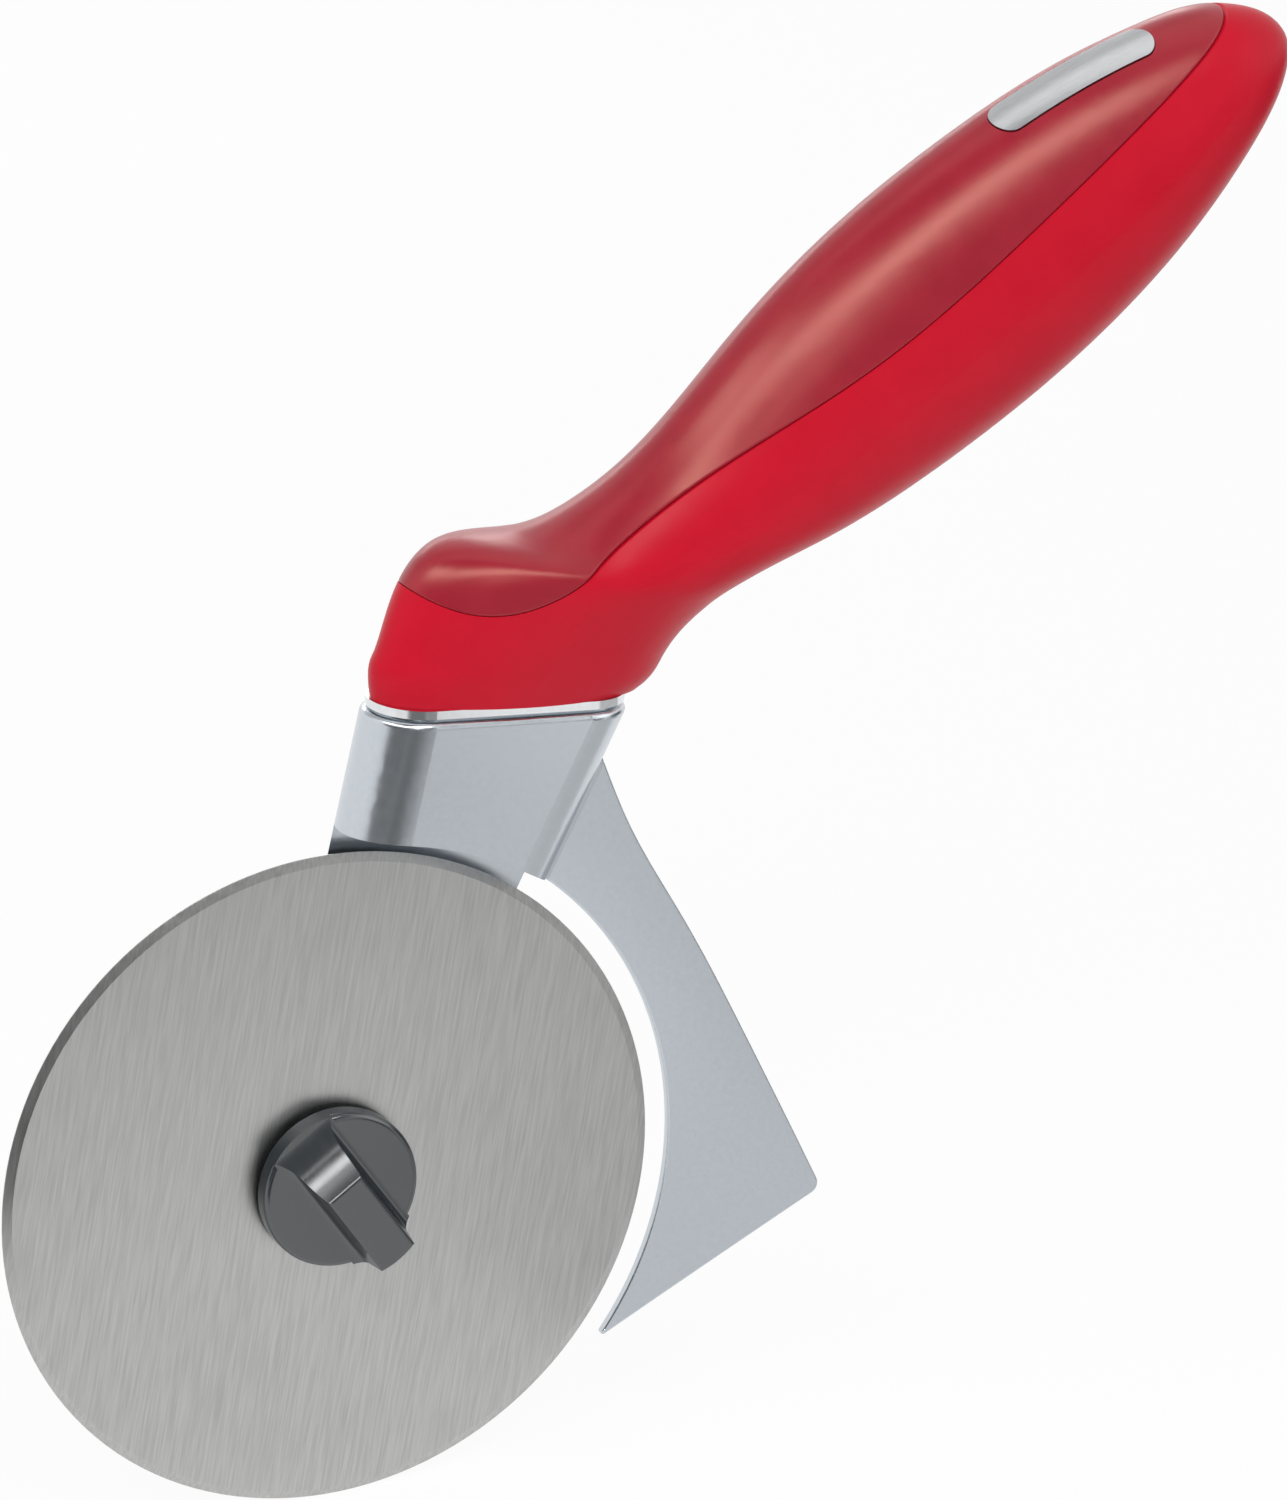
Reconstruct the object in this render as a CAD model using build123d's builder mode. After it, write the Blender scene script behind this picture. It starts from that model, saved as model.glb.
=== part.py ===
from build123d import *
import os
from math import cos, radians, sin, sqrt

# Pizza cutter wheel, upright on its wheel. The wheel's face looks along -Y,
# the handle leans towards +X, +Z is up and the floor is Z = 0.
# All sizes are in millimetres.

os.makedirs("parts", exist_ok=True)

# Wheel
blade_r = 45.0
blade_t = 1.0
bevel_w = 1.2           # radial width of the ground edge
edge_land = 0.16        # thickness left at the very edge

# Hub, from the spindle outwards
screw_r = 2.95
journal_r = 4.5
bush_wall = 1.5
flange_r = 8.5
flange_t = 0.7
bush_nose = 0.3         # the bush stands this far in front of the wheel
washer_t = 0.6
washer_r = 8.0
run_fit = 0.05          # radial clearance of parts that turn or slide
bond_gap = 0.03         # line between pieces that are fixed together
side_gap = 0.15         # end play of the wheel, each side
socket_depth = 5.0      # how deep the spindle sits in the boss
spindle_floor = 0.9
screw_end_gap = 0.7

# Knob
knob_r = 10.7
knob_disc_t = 2.6
knob_h = 7.6
knob_edge_r = 0.9
bar_w = 5.4             # bar's width at its top
bar_flare = 0.5         # how much wider the bar is above its foot, each side
bar_turn = -56.0        # way the bar points, degrees from +X towards +Z
bar_edge_r = 0.5
bar_foot_r = 1.6        # hollow rounding along the bar's foot
ramp_start = 2.8        # the bar's top ends here, past the axis
ramp_end = 9.7          # and meets the disc here
ramp_sag = 0.8
head_r = 5.0
head_t = 1.4
head_cover = 0.6        # knob material behind the screw's head

# Casting
boss_r = 10.5
boss_rise = 0.8         # boss stands proud of the arm, front and back
boss_step = 0.9         # boss stands out from the arm's foot, each side
collar_w = 14.4
collar_l = 36.3
collar_shift = -1.2     # collar's middle from the handle's middle, along the neck
blade_room = 3.1        # between the wheel's edge and the casting round it
guard_w = 22.3          # guard's inner edge to its outer corner, along X
guard_drop = 10.1       # neck's middle to the notch under the collar, along Z
guard_sink = 13.2       # hub to the outer corner, downwards
guard_bury = 7.0        # how far the guard runs on inside the collar
guard_inner_t = 1.3
guard_outer_t = 3.6
guard_corner_r = 1.6
guard_tip_r = 0.3
guard_tip_angle = -38.6
guard_root_angle = 60.0
guard_edge_r = 0.28
collar_edge_r = 0.9
cast_edge_r = 0.5
crease_r = 1.5          # blend between the guard and the collar

# Neck between collar and handle
neck_in = 19.8          # neck's middle inside the wheel's edge, along X
neck_over = 18.6        # and over the wheel's edge, along Z
neck_tilt = -4.75       # degrees
neck_l = 37.0
ring_t = 1.1
ring_step = 0.55        # ring's edge inside the collar's edge
groove_t = 0.4
groove_step = 1.3       # groove's floor inside the collar's edge

# Handle
handle_reach = 112.0    # neck's middle to the tip, along X
handle_rise = 80.0      # neck's middle to the top, along Z
handle_w = 24.4
skin_t = 2.6
seam_r = 0.35           # rounding of the inlay's edge
badge_l = 24.6
badge_w = 4.9
badge_t = 0.9
badge_proud = 0.25
badge_gap = 0.12
badge_aside = 2.4       # badge's middle from the crest, towards the front
badge_back = 1.2        # and from its row's place, towards the neck
overrun = 2.0           # how far a cutter passes what it cuts

# Tang and pins
tang_l = 50.0
tang_depth = 11.0
tang_t = 6.0
tang_angle = 39.0
tang_root = 9.0
tang_end_r = 3.0
tang_gap = 0.15
pin_r = 2.0
pin_cover = 1.6         # core material past each pin's end
pin_places = (18.0, 38.0)

# Sections of the handle from above the neck to the tip: crest point, belly
# point (x as shares of handle_reach, z as shares of handle_rise), width as a
# share of handle_w, and how far down the section its widest line lies.
neck_shares = (0.615, 0.50)
section_shares = (
    (-0.157, 0.094, 0.195, 0.026, 0.721, 0.50),
    (-0.129, 0.194, 0.221, 0.073, 0.820, 0.51),
    (-0.082, 0.260, 0.244, 0.100, 0.885, 0.52),
    (0.011, 0.263, 0.274, 0.129, 0.902, 0.54),
    (0.092, 0.295, 0.323, 0.159, 0.902, 0.56),
    (0.180, 0.379, 0.400, 0.196, 0.918, 0.58),
    (0.290, 0.534, 0.496, 0.253, 0.967, 0.58),
    (0.420, 0.694, 0.614, 0.344, 1.000, 0.58),
    (0.568, 0.828, 0.735, 0.459, 1.000, 0.58),
    (0.712, 0.928, 0.853, 0.605, 0.934, 0.58),
    (0.821, 0.980, 0.930, 0.733, 0.820, 0.57),
    (0.898, 1.000, 0.975, 0.826, 0.639, 0.56),
)
badge_shares = section_shares[8:11]
tip_share = (0.995, 0.948)
dome_shares = (0.55, 0.25, 0.08, 0.015)

# Lower edge of the inlay, from under the thumb rest to the end of the crest,
# in the same shares of handle_reach and handle_rise.
seam_shares = (
    (-0.155, 0.235),
    (-0.108, 0.188),
    (-0.060, 0.166),
    (-0.006, 0.169),
    (0.094, 0.234),
    (0.271, 0.383),
    (0.438, 0.515),
    (0.613, 0.686),
    (0.752, 0.829),
    (0.852, 0.931),
    (0.925, 1.010),
)

# Outer edge of the guard, from inside the collar over the notch to the
# corner, as shares of the way from the notch to the corner.
guard_shares = (
    (-0.060, -0.075),
    (0.000, 0.000),
    (0.126, 0.153),
    (0.366, 0.367),
    (0.679, 0.668),
    (1.000, 1.000),
)

# Places in the side view, from the hub
neck_x = blade_r - neck_in
neck_z = blade_r + neck_over
guard_r = blade_r + blade_room
guard_reach = guard_r + guard_w
guard_top = neck_z - guard_drop

# The wheel's middle stands over the floor, and the whole object is centred.
hub_x = -(neck_x + handle_reach - blade_r) / 2
hub_z = blade_r
front = Plane(origin=(hub_x, 0, hub_z), x_dir=(1, 0, 0), z_dir=(0, -1, 0))
hub_axis = Axis(origin=(hub_x, 0, hub_z), direction=(0, -1, 0))
radial = Plane(origin=(hub_x, 0, hub_z), x_dir=(1, 0, 0), z_dir=(0, 0, 1))

# Distances from the wheel's middle plane, behind it
bush_back = blade_t / 2 + flange_t
washer_back = bush_back + side_gap
pad_face = washer_back + washer_t
arm_face = pad_face + boss_rise
frame_back = collar_w / 2
boss_back = frame_back + boss_rise
spindle_back = pad_face + socket_depth

# Distances from the wheel's middle plane, in front of it
bush_front = blade_t / 2 + bush_nose
spindle_front = bush_front + side_gap
knob_base = spindle_front + washer_t
bush_r = journal_r + run_fit + bush_wall


def hub_point(x, z):
    """A point of the side view, given from the hub, in the part's frame."""
    return Vector(hub_x + x, 0, hub_z + z)


def neck_point(along, up):
    """A point given along the tilted neck and square to it, from the hub."""
    c = cos(radians(neck_tilt))
    s = sin(radians(neck_tilt))
    return (neck_x + along * c - up * s, neck_z + along * s + up * c)


def neck_plane(up):
    """Plane across the neck, with its x along the collar."""
    x, z = neck_point(0, up)
    tilt = radians(neck_tilt)
    return Plane(origin=hub_point(x, z), x_dir=(cos(tilt), 0, sin(tilt)),
                 z_dir=(-sin(tilt), 0, cos(tilt)))


def handle_point(share):
    """A point of the handle's side view from its two shares."""
    return hub_point(neck_x + share[0] * handle_reach, neck_z + share[1] * handle_rise)


def egg(crest, belly, half_w, widest, inset):
    """Draw one egg-shaped section, made smaller all round by inset."""
    down = belly - crest
    origin = crest + down * widest
    up = (crest - belly).normalized()
    forward = Vector(0, -1, 0).cross(up)
    with BuildSketch(Plane(origin=origin, x_dir=up, z_dir=forward)) as section:
        with BuildLine():
            EllipticalCenterArc((0, 0), down.length * widest - inset, half_w - inset,
                                start_angle=-90, arc_size=180)
            EllipticalCenterArc((0, 0), down.length * (1 - widest) - inset, half_w - inset,
                                start_angle=90, arc_size=180)
        make_face()
    return section.sketch


def handle_form(inset, domed=True, start=0):
    """The handle's form, lying inset below its surface, from start above the neck."""
    sections = []
    for up in sorted({start, 0}):
        left = hub_point(*neck_point(-neck_l / 2, up))
        right = hub_point(*neck_point(neck_l / 2, up))
        sections.append(egg(left, right, neck_shares[0] * handle_w / 2, neck_shares[1], inset))
    for row in section_shares:
        crest = handle_point(row[0:2])
        belly = handle_point(row[2:4])
        sections.append(egg(crest, belly, row[4] * handle_w / 2, row[5], inset))
    if domed:
        middle = crest + (belly - crest) * row[5]
        tip = handle_point(tip_share)
        for share in dome_shares:
            size = sqrt(share)
            centre = tip + (middle - tip) * share
            upper = centre + (crest - middle) * size
            lower = centre + (belly - middle) * size
            sections.append(egg(upper, lower, row[4] * handle_w / 2 * size, row[5], inset * size))

    with BuildPart() as form:
        loft(sections)
    return form.part


def tang_plane():
    """Plane of the tang's side view, with its x along the tang."""
    a = radians(tang_angle)
    return Plane(origin=hub_point(neck_x, neck_z), x_dir=(cos(a), 0, sin(a)), z_dir=(0, -1, 0))


def tang_form(gap):
    """The tang, or the pocket that takes it when gap is more than zero."""
    with BuildPart() as form:
        with BuildSketch(tang_plane()) as side:
            with Locations(((tang_l - tang_root) / 2, 0)):
                Rectangle(tang_l + tang_root + 2 * gap, tang_depth + 2 * gap)
            fillet(side.vertices(), tang_end_r)
        extrude(amount=tang_t / 2 + gap, both=True)
    return form.part


# Blade
with BuildPart() as blade:
    with BuildSketch(radial):
        with BuildLine():
            Polyline(
                (bush_r + bond_gap, -blade_t / 2),
                (blade_r - bevel_w, -blade_t / 2),
                (blade_r, -edge_land / 2),
                (blade_r, edge_land / 2),
                (blade_r - bevel_w, blade_t / 2),
                (bush_r + bond_gap, blade_t / 2),
                close=True,
            )
        make_face()
    revolve(axis=hub_axis)

# Bush pressed in the wheel, with its flange behind
with BuildPart() as blade_bush:
    with BuildSketch(front.offset(-bush_back)):
        Circle(flange_r)
    extrude(amount=flange_t)
    with BuildSketch(front.offset(-bush_back)):
        Circle(bush_r)
    extrude(amount=bush_back + bush_front)
    with BuildSketch(front.offset(-bush_back)):
        Circle(journal_r + run_fit)
    extrude(amount=bush_back + bush_front, mode=Mode.SUBTRACT)

# Washer between the boss and the bush
with BuildPart() as rear_washer:
    with BuildSketch(front.offset(-pad_face)):
        Circle(flange_r)
        Circle(journal_r + bond_gap, mode=Mode.SUBTRACT)
    extrude(amount=washer_t)

# Washer between the bush and the knob
with BuildPart() as front_washer:
    with BuildSketch(front.offset(spindle_front)):
        Circle(washer_r)
        Circle(screw_r + run_fit, mode=Mode.SUBTRACT)
    extrude(amount=washer_t)

# Spindle with the blind hole that takes the knob's screw
with BuildPart() as hub_spindle:
    with BuildSketch(front.offset(-spindle_back)):
        Circle(journal_r)
    extrude(amount=spindle_back + spindle_front)
    with BuildSketch(front.offset(-spindle_back + spindle_floor)):
        Circle(screw_r + run_fit)
    extrude(amount=spindle_back - spindle_floor + spindle_front, mode=Mode.SUBTRACT)

# Screw moulded in the knob
screw_back = spindle_back - spindle_floor - screw_end_gap
with BuildPart() as knob_screw:
    with BuildSketch(front.offset(-screw_back)):
        Circle(screw_r)
    extrude(amount=screw_back + knob_base + head_cover)
    with BuildSketch(front.offset(knob_base + head_cover)):
        RegularPolygon(head_r, 6)
    extrude(amount=head_t)

# Knob: a disc with a gripping bar across it, which slopes away at one end
turn = radians(bar_turn)
bar_across = Plane(origin=front.origin, x_dir=(-sin(turn), 0, cos(turn)),
                   z_dir=(cos(turn), 0, sin(turn)))
bar_side = Plane(origin=front.origin, x_dir=(cos(turn), 0, sin(turn)),
                 z_dir=(sin(turn), 0, -cos(turn)))
knob_face = knob_base + knob_disc_t
knob_top = knob_base + knob_h
with BuildPart() as knob_bar:
    with BuildSketch(bar_across):
        with BuildLine():
            waist = bar_w / 2 + bar_flare
            shoulder = knob_face + bar_foot_r
            Polyline((0, knob_top), (bar_w / 2, knob_top), (waist, shoulder))
            CenterArc((waist + bar_foot_r, shoulder), bar_foot_r, start_angle=180, arc_size=90)
            Polyline(
                (waist + bar_foot_r, knob_face),
                (waist + bar_foot_r, knob_base),
                (0, knob_base),
                (0, knob_top),
            )
        make_face()
        mirror(about=Plane.YZ)
    extrude(amount=knob_r, both=True)
    with BuildSketch(front.offset(knob_base)):
        Circle(knob_r)
    extrude(amount=knob_h, mode=Mode.INTERSECT)
    with BuildSketch(bar_side):
        with BuildLine():
            middle = (-(ramp_start + ramp_end) / 2 + ramp_sag, (knob_top + knob_face) / 2 - ramp_sag)
            ThreePointArc((-ramp_start, knob_top), middle, (-ramp_end, knob_face))
            Polyline(
                (-ramp_end, knob_face),
                (-knob_r - overrun, knob_face),
                (-knob_r - overrun, knob_top + overrun),
                (-ramp_start, knob_top + overrun),
                (-ramp_start, knob_top),
            )
        make_face()
    extrude(amount=knob_r, both=True, mode=Mode.SUBTRACT)
    fillet(knob_bar.edges().group_by(Axis.Y)[0], bar_edge_r)

with BuildPart() as knob:
    with BuildSketch(front.offset(knob_base)):
        Circle(knob_r)
    extrude(amount=knob_disc_t)
    fillet(knob.edges().group_by(Axis.Y)[0], knob_edge_r)
    add(knob_bar.part)
    with BuildSketch(front.offset(knob_base)):
        Circle(screw_r + bond_gap)
    extrude(amount=head_cover, mode=Mode.SUBTRACT)
    with BuildSketch(front.offset(knob_base + head_cover)):
        RegularPolygon(head_r + bond_gap, 6)
    extrude(amount=head_t + bond_gap, mode=Mode.SUBTRACT)

# Outline of the collar and arm along the neck: ends of the top and foot
neck_gap = ring_t + groove_t
neck_axis = Axis(neck_plane(0).origin, neck_plane(0).z_dir)
hub_along = -neck_x * cos(radians(neck_tilt)) - neck_z * sin(radians(neck_tilt))
hub_drop = neck_z * cos(radians(neck_tilt)) - neck_x * sin(radians(neck_tilt))
top_left = collar_shift - collar_l / 2
top_right = collar_shift + collar_l / 2
foot_left = hub_along - boss_r + boss_step
foot_right = hub_along + boss_r - boss_step


def collar_side(z):
    """How far from the hub the collar's right side lies at height z."""
    upper = neck_point(top_right, -neck_gap)
    lower = neck_point(foot_right, -hub_drop)
    return upper[0] + (lower[0] - upper[0]) * (z - upper[1]) / (lower[1] - upper[1])


# Guard: thin beside the wheel and thicker at its outer edge
def guard_point(angle):
    """A point of the guard's inner edge in the side view."""
    return (guard_r * cos(radians(angle)), guard_r * sin(radians(angle)))


with BuildPart() as guard:
    with BuildSketch(front) as guard_side:
        with BuildLine():
            tip = guard_point(guard_tip_angle)
            root = guard_point(guard_root_angle)
            notch = (collar_side(guard_top), guard_top)
            outer = [(notch[0] + x * (guard_reach - notch[0]), notch[1] - z * (guard_top + guard_sink))
                     for x, z in guard_shares]
            ThreePointArc(tip, guard_point((guard_tip_angle + guard_root_angle) / 2), root)
            Polyline(root, (root[0], root[1] + guard_bury), outer[0])
            Spline(*outer)
            Line(outer[-1], tip)
        make_face()
        fillet(guard_side.vertices().sort_by_distance((*tip, 0))[0], guard_tip_r)
        fillet(guard_side.vertices().sort_by_distance((*outer[-1], 0))[0], guard_corner_r)
    extrude(amount=guard_outer_t, both=True)
    with BuildSketch(radial):
        with BuildLine():
            Polyline(
                (guard_r - overrun, guard_inner_t / 2),
                (guard_r, guard_inner_t / 2),
                (guard_reach + overrun, guard_outer_t / 2),
                (guard_reach + overrun, -guard_outer_t / 2),
                (guard_r, -guard_inner_t / 2),
                (guard_r - overrun, -guard_inner_t / 2),
                close=True,
            )
        make_face()
    revolve(axis=hub_axis, mode=Mode.INTERSECT)
    fillet(guard.edges().filter_by(GeomType.CIRCLE), guard_edge_r)

# Boss at the arm's foot
with BuildPart() as boss:
    with BuildSketch(front.offset(-boss_back)):
        Circle(boss_r)
    extrude(amount=boss_back - pad_face)
    fillet(boss.edges().sort_by(Axis.Y)[0], cast_edge_r)

# Casting: collar, arm, boss, guard and tang in one
def stadium(up, left, right, step):
    """A section of the casting across the neck, made smaller all round by step."""
    with BuildSketch(neck_plane(up)) as section:
        with Locations(((left + right) / 2, 0)):
            SlotOverall(right - left - 2 * step, collar_w - 2 * step)
    return section.sketch


with BuildPart() as frame_casting:
    top = stadium(-neck_gap, top_left, top_right, 0)
    loft([top, stadium(-hub_drop, foot_left, foot_right, 0)], ruled=True)
    fillet(frame_casting.faces().sort_by(neck_axis)[-1].edges(), collar_edge_r)
    add(guard.part)
    creases = frame_casting.edges(Select.NEW).sort_by(SortBy.LENGTH)[-2:]
    fillet(creases, crease_r)
    with BuildSketch(front.offset(-arm_face)):
        Circle(guard_r)
    extrude(amount=arm_face + collar_w, mode=Mode.SUBTRACT)
    add(boss.part)
    extrude(stadium(-neck_gap, top_left, top_right, groove_step), amount=groove_t)
    add(tang_form(0))
    with BuildSketch(front.offset(-pad_face)):
        Circle(journal_r + bond_gap)
    extrude(amount=-socket_depth, mode=Mode.SUBTRACT)
    with BuildSketch(tang_plane()):
        with Locations(*[(place, 0) for place in pin_places]):
            Circle(pin_r + bond_gap)
    extrude(amount=tang_t, both=True, mode=Mode.SUBTRACT)

# Plate between the collar and the handle
with BuildPart() as neck_ring:
    extrude(stadium(-ring_t, top_left, top_right, ring_step), amount=ring_t)
    add(tang_form(tang_gap), mode=Mode.SUBTRACT)

# Handle core, body, inlay and badge
outer_form = handle_form(0)
inner_form = handle_form(skin_t, domed=False, start=-overrun)
badge_seat = handle_form(badge_t - badge_proud)

pin_l = handle_w * section_shares[2][4] - 2 * (skin_t + pin_cover)
with BuildPart() as tang_pins:
    with BuildSketch(tang_plane()):
        with Locations(*[(place, 0) for place in pin_places]):
            Circle(pin_r)
    extrude(amount=pin_l / 2, both=True)

with BuildPart() as handle_core:
    add(inner_form)
    split(bisect_by=neck_plane(0), keep=Keep.TOP)
    add(tang_form(tang_gap), mode=Mode.SUBTRACT)
    with BuildSketch(tang_plane()):
        with Locations(*[(place, 0) for place in pin_places]):
            Circle(pin_r + bond_gap)
    extrude(amount=handle_w, both=True, mode=Mode.SUBTRACT)

with BuildPart() as inlay_zone:
    with BuildSketch(front):
        with BuildLine():
            seam = [(neck_x + x * handle_reach, neck_z + z * handle_rise) for x, z in seam_shares]
            Spline(*seam)
            Polyline(
                seam[-1],
                (seam[-1][0], neck_z + handle_rise + overrun),
                (seam[0][0], neck_z + handle_rise + overrun),
                seam[0],
            )
        make_face()
    extrude(amount=handle_w, both=True)

badge_from, badge_middle, badge_to = [handle_point(row[0:2]) for row in badge_shares]
spine = badge_to - badge_from
badge_plane = Plane(origin=badge_middle, x_dir=spine, z_dir=(-spine.Z, 0, spine.X))


def badge_form(gap, height):
    """The badge's outline, wider by gap all round, raised by height from its seat."""
    with BuildPart() as bed:
        add(badge_seat)
        with BuildSketch(badge_plane):
            with Locations((-badge_back, -badge_aside)):
                SlotOverall(badge_l + 2 * gap, badge_w + 2 * gap)
        extrude(amount=badge_w, both=True, mode=Mode.INTERSECT)
    bed_face = bed.faces().sort_by(Axis(badge_plane.origin, badge_plane.z_dir))[-1]
    with BuildPart() as form:
        thicken(bed_face, amount=height)
    return form.part


with BuildPart() as badge_plate:
    add(badge_form(0, badge_t))

with BuildPart() as grip_inlay:
    add(outer_form)
    add(inlay_zone.part, mode=Mode.INTERSECT)
    add(inner_form, mode=Mode.SUBTRACT)
    fillet(grip_inlay.edges().sort_by(SortBy.LENGTH)[-2:], seam_r)
    add(badge_form(badge_gap, badge_t + overrun), mode=Mode.SUBTRACT)

with BuildPart() as handle_body:
    add(outer_form)
    add(inlay_zone.part, mode=Mode.SUBTRACT)
    add(inner_form, mode=Mode.SUBTRACT)

blade.part.label = "blade"
export_step(blade.part, "parts/blade.step")
blade_bush.part.label = "blade_bush"
export_step(blade_bush.part, "parts/blade_bush.step")
rear_washer.part.label = "rear_washer"
export_step(rear_washer.part, "parts/rear_washer.step")
front_washer.part.label = "front_washer"
export_step(front_washer.part, "parts/front_washer.step")
hub_spindle.part.label = "hub_spindle"
export_step(hub_spindle.part, "parts/hub_spindle.step")
knob_screw.part.label = "knob_screw"
export_step(knob_screw.part, "parts/knob_screw.step")
knob.part.label = "knob"
export_step(knob.part, "parts/knob.step")
frame_casting.part.label = "frame_casting"
export_step(frame_casting.part, "parts/frame_casting.step")
neck_ring.part.label = "neck_ring"
export_step(neck_ring.part, "parts/neck_ring.step")
tang_pins.part.label = "tang_pins"
export_step(tang_pins.part, "parts/tang_pins.step")
handle_core.part.label = "handle_core"
export_step(handle_core.part, "parts/handle_core.step")
handle_body.part.label = "handle_body"
export_step(handle_body.part, "parts/handle_body.step")
grip_inlay.part.label = "grip_inlay"
export_step(grip_inlay.part, "parts/grip_inlay.step")
badge_plate.part.label = "badge_plate"
export_step(badge_plate.part, "parts/badge_plate.step")
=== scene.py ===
from math import radians

import bpy
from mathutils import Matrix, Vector

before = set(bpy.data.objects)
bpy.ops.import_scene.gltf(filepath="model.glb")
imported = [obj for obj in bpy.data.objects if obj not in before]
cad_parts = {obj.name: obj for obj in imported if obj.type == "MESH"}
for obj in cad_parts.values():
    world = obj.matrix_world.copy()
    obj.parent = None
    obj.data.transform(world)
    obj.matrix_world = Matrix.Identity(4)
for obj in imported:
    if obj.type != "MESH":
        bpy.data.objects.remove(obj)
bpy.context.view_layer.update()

# Looks of the pizza cutter wheel: finishes for the frame's solids, with nothing put over them, and a
# studio and a camera round them. Lengths are in metres. Colours are linear.

BLADE_TONE = (0.53, 0.53, 0.525)
BLADE_DARK = (0.425, 0.425, 0.42)
CAST_TONE = (0.60, 0.642, 0.682)
CAST_DARK = (0.575, 0.617, 0.657)
RING_TONE = (0.80, 0.815, 0.83)
RING_DARK = (0.74, 0.755, 0.775)
RED_TONE = (0.575, 0.007, 0.025)
RED_DARK = (0.545, 0.006, 0.022)
CRIMSON_TONE = (0.34, 0.010, 0.030)
CRIMSON_DARK = (0.31, 0.008, 0.026)
CRIMSON_GLOSS = (1.0, 0.66, 0.50, 1)
KNOB_TONE = (0.020, 0.026, 0.032)
KNOB_DARK = (0.016, 0.021, 0.026)
BADGE_TONE = (0.70, 0.71, 0.72)
BADGE_DARK = (0.63, 0.64, 0.655)
STEEL_TONE = (0.55, 0.55, 0.54)
STEEL_DARK = (0.48, 0.48, 0.47)
BRASS_TONE = (0.62, 0.47, 0.22)
BRASS_DARK = (0.54, 0.40, 0.18)
NYLON_TONE = (0.70, 0.69, 0.64)
NYLON_DARK = (0.64, 0.63, 0.58)
CORE_TONE = (0.045, 0.045, 0.047)
CORE_DARK = (0.035, 0.035, 0.037)
WHITE = (1, 1, 1, 1)

# Noise: the values at which the dark tone ends and the pale one starts, and its octaves
DARK_END = 0.3
PALE_START = 0.7
OCTAVES = 4
BLADE_OCTAVES = 3
FINE_OCTAVES = 2

# Grain: spots of noise per metre along X, Y and Z
BLADE_GRAIN = (3400, 3400, 140)
BLADE_LEAN = radians(11)
BADGE_GRAIN = (420, 3200, 420)
TURNED_GRAIN = (200, 4200, 200)


def even(count):
    """A grain that is the same in every direction."""
    return (count, count, count)


def finish(name, tone, dark, roughness, grain, metallic=0.0, lean=0.0, octaves=OCTAVES,
           roughness_swing=0.05, bump=0.1, bump_depth=0.00002, fine=None, **sockets):
    """A material whose colour and gloss vary with noise of the given grain.

    The grain leans by an angle about Y, towards +X. The bumps follow the fine grain, or the same grain
    where no fine one is given. The sockets are the shader's own, named with underscores."""
    material = bpy.data.materials.new(name)
    material.use_nodes = True
    tree = material.node_tree
    shader = tree.nodes["Principled BSDF"]
    shader.inputs["Metallic"].default_value = metallic
    for socket, value in sockets.items():
        shader.inputs[socket.replace("_", " ")].default_value = value

    place = tree.nodes.new("ShaderNodeTexCoord")

    def noise(counts, detail):
        stretch = tree.nodes.new("ShaderNodeMapping")
        stretch.vector_type = "TEXTURE"
        stretch.inputs["Scale"].default_value = [1 / count for count in counts]
        stretch.inputs["Rotation"].default_value = (0, lean, 0)
        tree.links.new(place.outputs["Object"], stretch.inputs["Vector"])
        texture = tree.nodes.new("ShaderNodeTexNoise")
        texture.inputs["Scale"].default_value = 1
        texture.inputs["Detail"].default_value = detail
        tree.links.new(stretch.outputs["Vector"], texture.inputs["Vector"])
        return texture.outputs["Fac"]

    coarse = noise(grain, octaves)
    ramp = tree.nodes.new("ShaderNodeValToRGB")
    low, high = ramp.color_ramp.elements
    low.position = DARK_END
    low.color = (*dark, 1)
    high.position = PALE_START
    high.color = (*tone, 1)
    tree.links.new(coarse, ramp.inputs["Fac"])
    tree.links.new(ramp.outputs["Color"], shader.inputs["Base Color"])

    gloss = tree.nodes.new("ShaderNodeMapRange")
    gloss.inputs["To Min"].default_value = roughness - roughness_swing
    gloss.inputs["To Max"].default_value = roughness + roughness_swing
    tree.links.new(coarse, gloss.inputs["Value"])
    tree.links.new(gloss.outputs["Result"], shader.inputs["Roughness"])

    height = tree.nodes.new("ShaderNodeBump")
    height.inputs["Strength"].default_value = bump
    height.inputs["Distance"].default_value = bump_depth
    tree.links.new(noise(fine, FINE_OCTAVES) if fine else coarse, height.inputs["Height"])
    tree.links.new(height.outputs["Normal"], shader.inputs["Normal"])
    return material


def dress(material, *nodes):
    """Give CAD nodes their material."""
    for node in nodes:
        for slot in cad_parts[node].material_slots:
            slot.material = material


brushed_blade = finish("brushed_blade", BLADE_TONE, BLADE_DARK, roughness=0.34, metallic=1.0,
                       grain=BLADE_GRAIN, lean=BLADE_LEAN, octaves=BLADE_OCTAVES,
                       bump=0.18, bump_depth=0.000015, Anisotropic=0.3)
satin_casting = finish("satin_casting", CAST_TONE, CAST_DARK, roughness=0.25, metallic=1.0,
                       grain=even(1500), roughness_swing=0.015,
                       bump=0.12, bump_depth=0.00001, fine=even(4600))
polished_ring = finish("polished_ring", RING_TONE, RING_DARK, roughness=0.12, metallic=1.0,
                       grain=even(1100), roughness_swing=0.03, bump=0.05)
glossy_red = finish("glossy_red", RED_TONE, RED_DARK, roughness=0.34,
                    grain=even(160), roughness_swing=0.03, bump=0.06, fine=even(1500),
                    IOR=1.46, Specular_IOR_Level=0.16)
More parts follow.
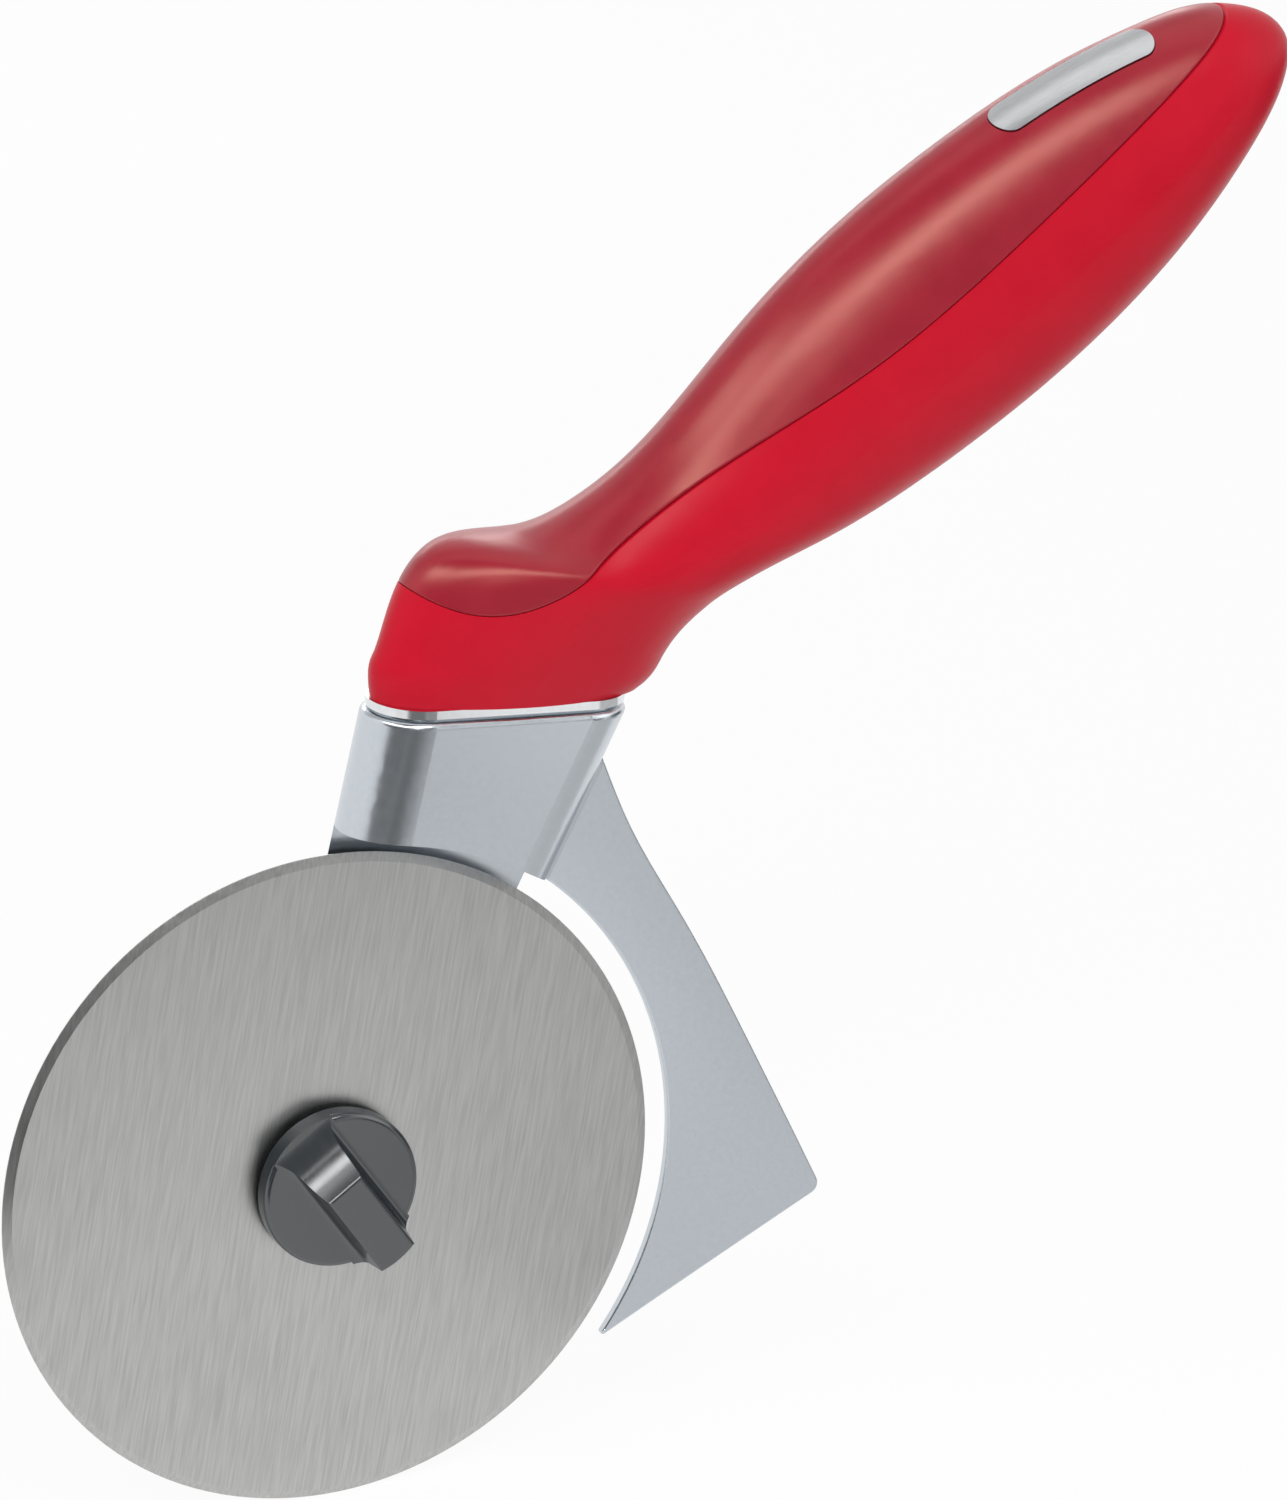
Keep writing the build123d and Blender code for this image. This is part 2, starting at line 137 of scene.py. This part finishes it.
soft_crimson = finish("soft_crimson", CRIMSON_TONE, CRIMSON_DARK, roughness=0.30,
                      grain=even(240), roughness_swing=0.02,
                      bump=0.06, bump_depth=0.00001, fine=even(2600),
                      IOR=1.5, Specular_IOR_Level=0.7, Specular_Tint=CRIMSON_GLOSS)
dark_knob = finish("dark_knob", KNOB_TONE, KNOB_DARK, roughness=0.20,
                   grain=even(500), roughness_swing=0.04, bump=0.05, fine=even(2500), IOR=1.95)
plain_badge = finish("plain_badge", BADGE_TONE, BADGE_DARK, roughness=0.30, metallic=1.0,
                     grain=BADGE_GRAIN, bump=0.15, bump_depth=0.00001)
turned_steel = finish("turned_steel", STEEL_TONE, STEEL_DARK, roughness=0.28, metallic=1.0,
                      grain=TURNED_GRAIN, bump=0.15, bump_depth=0.00001)
turned_brass = finish("turned_brass", BRASS_TONE, BRASS_DARK, roughness=0.30, metallic=1.0,
                      grain=TURNED_GRAIN, bump=0.15, bump_depth=0.00001)
pale_nylon = finish("pale_nylon", NYLON_TONE, NYLON_DARK, roughness=0.45, grain=even(900))
dull_core = finish("dull_core", CORE_TONE, CORE_DARK, roughness=0.55, grain=even(600))

dress(brushed_blade, "blade")
dress(satin_casting, "frame_casting")
dress(polished_ring, "neck_ring")
dress(glossy_red, "handle_body")
dress(soft_crimson, "grip_inlay")
dress(dark_knob, "knob")
dress(plain_badge, "badge_plate")
dress(turned_steel, "hub_spindle", "knob_screw", "tang_pins")
dress(turned_brass, "blade_bush")
dress(pale_nylon, "rear_washer", "front_washer")
dress(dull_core, "handle_core")

# Smooth shading that keeps the sharp edges
SHARP = radians(28)
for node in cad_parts.values():
    for polygon in node.data.polygons:
        polygon.use_smooth = True
    node.data.set_sharp_from_angle(angle=SHARP)


def mix_by_ray(tree, first, second, surface, share=1.0):
    """Light meets the first shader, while the camera, gloss and glass see a share of the second."""
    rays = tree.nodes.new("ShaderNodeLightPath")
    seen = rays.outputs["Is Camera Ray"]
    for kind in ("Is Glossy Ray", "Is Transmission Ray"):
        total = tree.nodes.new("ShaderNodeMath")
        total.operation = "ADD"
        total.use_clamp = True
        tree.links.new(seen, total.inputs[0])
        tree.links.new(rays.outputs[kind], total.inputs[1])
        seen = total.outputs["Value"]
    part = tree.nodes.new("ShaderNodeMath")
    part.operation = "MULTIPLY"
    part.inputs[1].default_value = share
    tree.links.new(seen, part.inputs[0])
    mixed = tree.nodes.new("ShaderNodeMixShader")
    tree.links.new(part.outputs["Value"], mixed.inputs["Fac"])
    tree.links.new(first, mixed.inputs[1])
    tree.links.new(second, mixed.inputs[2])
    tree.links.new(mixed.outputs["Shader"], surface)


# Floor: nearly white where it is looked at, with a faint shadow of the object. FLOOR_GLOW is the share
# of plain white in what is seen of it.
FLOOR_SIZE = 8.0
FLOOR_TONE = (0.86, 0.86, 0.86, 1)
FLOOR_GLOW = 0.93

bpy.ops.mesh.primitive_plane_add(size=FLOOR_SIZE)
floor = bpy.context.object
floor.name = "floor"
paper = bpy.data.materials.new("paper")
paper.use_nodes = True
tree = paper.node_tree
tree.nodes.remove(tree.nodes["Principled BSDF"])
matte = tree.nodes.new("ShaderNodeBsdfDiffuse")
matte.inputs["Color"].default_value = FLOOR_TONE
white = tree.nodes.new("ShaderNodeEmission")
white.inputs["Color"].default_value = WHITE
mix_by_ray(tree, matte.outputs["BSDF"], white.outputs["Emission"],
           tree.nodes["Material Output"].inputs["Surface"], share=FLOOR_GLOW)
floor.data.materials.append(paper)

# World: soft light all round, and plain white where it is looked at
WORLD_LIGHT = 0.30

world = bpy.data.worlds.new("studio")
bpy.context.scene.world = world
world.use_nodes = True
tree = world.node_tree
soft = tree.nodes["Background"]
soft.inputs["Color"].default_value = WHITE
soft.inputs["Strength"].default_value = WORLD_LIGHT
white = tree.nodes.new("ShaderNodeBackground")
white.inputs["Color"].default_value = WHITE
mix_by_ray(tree, soft.outputs["Background"], white.outputs["Background"],
           tree.nodes["World Output"].inputs["Surface"])

# Lamps, at two distances from the middle of the object
MIDDLE = Vector((0, 0, 0.095))
NEAR = 0.95
FAR = 1.1


def softbox(name, toward, distance, width, height, watts):
    """A soft rectangular lamp in the given direction from the object's middle, facing it."""
    lamp = bpy.data.lights.new(name, "AREA")
    lamp.shape = "RECTANGLE"
    lamp.size = width
    lamp.size_y = height
    lamp.energy = watts
    holder = bpy.data.objects.new(name, lamp)
    bpy.context.scene.collection.objects.link(holder)
    direction = Vector(toward).normalized()
    holder.location = MIDDLE + direction * distance
    holder.rotation_euler = direction.to_track_quat("Z", "Y").to_euler()


softbox("high_middle", (-0.388, -0.620, 0.682), NEAR, width=0.55, height=0.19, watts=2.5)
softbox("high_left", (-0.692, -0.147, 0.707), NEAR, width=0.50, height=0.20, watts=2.4)
softbox("high_right", (0.034, -0.642, 0.766), NEAR, width=0.45, height=0.22, watts=2.3)
softbox("low", (-0.235, -0.876, 0.423), NEAR, width=0.22, height=0.09, watts=0.30)
softbox("fill", (0.75, -0.45, 0.45), FAR, width=0.6, height=0.6, watts=0.8)
softbox("back", (0.15, 0.88, 0.45), FAR, width=0.7, height=0.35, watts=3.0)

# Cards that only reflections see. Where two of them overlap over the floor, their heights differ.
UP = (0, 0, 1)
AHEAD = (0, 1, 0)
LEFT_WALL_WAY = (0.82, 0.57, 0)
RIGHT_WALL_WAY = (-0.62, 0.78, 0)
RIGHT_FLAG_WAY = (-1, 0, 0)
SURROUND_WAY = Vector((-0.42, -0.67, 0.61)).normalized()
SURROUND_DISTANCE = 1.05
TOP_BACK_WAY = Vector((-0.12, 0.68, 0.73))
TOP_BACK_DISTANCE = 0.8


def grey_card(name, place, facing, width, height, grey):
    """A studio card of one even grey, with its middle at place."""
    bpy.ops.mesh.primitive_plane_add(size=1)
    card = bpy.context.object
    card.name = name
    card.scale = (width, height, 1)
    card.location = place
    card.rotation_euler = Vector(facing).to_track_quat("Z", "Y").to_euler()
    cloth = bpy.data.materials.new(name)
    cloth.use_nodes = True
    tree = cloth.node_tree
    tree.nodes.remove(tree.nodes["Principled BSDF"])
    glow = tree.nodes.new("ShaderNodeEmission")
    glow.inputs["Color"].default_value = (grey, grey, grey, 1)
    tree.links.new(glow.outputs["Emission"], tree.nodes["Material Output"].inputs["Surface"])
    card.data.materials.append(cloth)
    card.visible_camera = False
    card.visible_diffuse = False
    card.visible_shadow = False


grey_card("surround", MIDDLE + SURROUND_WAY * SURROUND_DISTANCE, SURROUND_WAY,
          width=2.4, height=2.0, grey=0.05)
grey_card("top_back", MIDDLE + TOP_BACK_WAY * TOP_BACK_DISTANCE, TOP_BACK_WAY,
          width=1.0, height=0.7, grey=0.55)
grey_card("front_floor", (-0.19, -0.41, 0.002), UP, width=0.26, height=0.28, grey=0.20)
grey_card("middle_floor", (0.01, -0.395, 0.002), UP, width=0.14, height=0.31, grey=0.30)
grey_card("front_wall", (-0.315, -0.55, 0.17), AHEAD, width=0.37, height=0.34, grey=0.20)
grey_card("middle_wall", (-0.02, -0.55, 0.17), AHEAD, width=0.22, height=0.34, grey=0.25)
grey_card("left_wall", (-0.457, -0.343, 0.10), LEFT_WALL_WAY, width=0.34, height=0.30, grey=0.13)
grey_card("right_wall", (0.36, -0.50, 0.08), RIGHT_WALL_WAY, width=0.28, height=0.20, grey=0.05)
grey_card("rim_floor", (-0.175, -0.20, 0.003), UP, width=0.19, height=0.20, grey=0.03)
grey_card("guard_floor", (0.14, -0.12, 0.0015), UP, width=0.18, height=0.22, grey=0.66)
grey_card("tip_floor", (0.03, -0.065, 0.0025), UP, width=0.06, height=0.09, grey=0.78)
grey_card("right_floor", (0.285, -0.14, 0.002), UP, width=0.23, height=0.32, grey=0.55)
grey_card("right_flag", (0.40, -0.02, 0.06), RIGHT_FLAG_WAY, width=0.30, height=0.24, grey=0.08)

# Camera of the photograph, found from the wheel's ellipse. It looks along +Y at azimuth 0, and down by
# its elevation.
EYE = (-0.321073, -0.695409, 0.370303)
EYE_AZIMUTH = radians(-24.695)
EYE_ELEVATION = radians(19.611)
LENS_MM = 150
SENSOR_MM = 36

eye = bpy.data.cameras.new("camera")
eye.lens = LENS_MM
eye.sensor_width = SENSOR_MM
camera = bpy.data.objects.new("camera", eye)
bpy.context.scene.collection.objects.link(camera)
camera.location = EYE
camera.rotation_euler = (radians(90) - EYE_ELEVATION, 0, EYE_AZIMUTH)
bpy.context.scene.camera = camera
bpy.context.scene.view_settings.view_transform = "Standard"
